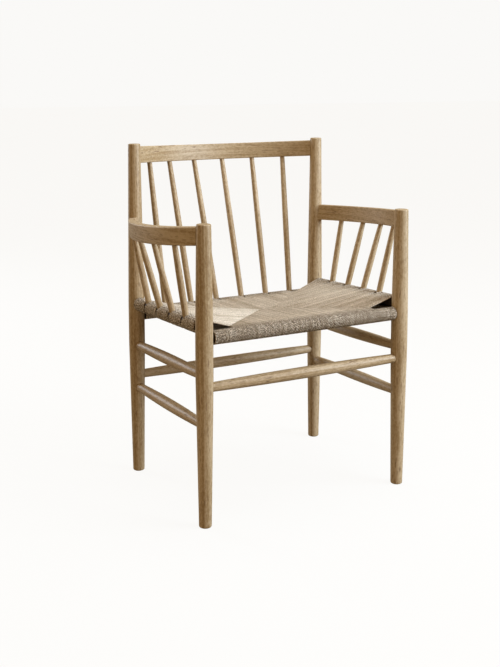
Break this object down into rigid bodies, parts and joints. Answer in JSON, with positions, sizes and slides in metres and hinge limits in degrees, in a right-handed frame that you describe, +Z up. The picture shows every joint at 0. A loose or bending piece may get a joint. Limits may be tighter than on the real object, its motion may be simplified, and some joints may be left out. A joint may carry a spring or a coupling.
{
  "type": "wooden armchair",
  "caption": "Low-backed armchair in oiled oak: turned posts, bent crest and arm rails over leaning spindles, round stretchers, and a seat woven from paper cord.",
  "frame": {"origin": "on the floor, under the middle of the chair's outer box", "axes": "+Z up, the front of the chair towards -Y, +X to the right seen from the front"},
  "size_m": [0.6496, 0.5399, 0.82],
  "materials": {
    "oak": "oiled oak, satin",
    "paper_cord": "twisted natural paper cord, matt"
  },
  "bodies": {
    "root": {"arm_rail_left": "oak", "arm_rail_right": "oak", "arm_spindle_left_1": "oak", "arm_spindle_left_2": "oak", "arm_spindle_left_3": "oak", "arm_spindle_left_4": "oak", "arm_spindle_right_1": "oak", "arm_spindle_right_2": "oak", "arm_spindle_right_3": "oak", "arm_spindle_right_4": "oak", "back_spindle_1": "oak", "back_spindle_2": "oak", "back_spindle_3": "oak", "back_spindle_4": "oak", "back_spindle_5": "oak", "back_spindle_6": "oak", "crest_rail": "oak", "front_post_left": "oak", "front_post_right": "oak", "front_seat_rail": "oak", "front_stretcher": "oak", "lower_side_stretcher_left": "oak", "lower_side_stretcher_right": "oak", "rear_post_left": "oak", "rear_post_right": "oak", "rear_seat_rail": "oak", "rear_stretcher": "oak", "seat_weave_front": "paper_cord", "seat_weave_left": "paper_cord", "seat_weave_rear": "paper_cord", "seat_weave_right": "paper_cord", "side_seat_rail_left": "oak", "side_seat_rail_right": "oak", "upper_side_stretcher_left": "oak", "upper_side_stretcher_right": "oak"}
  },
  "joints": []
}
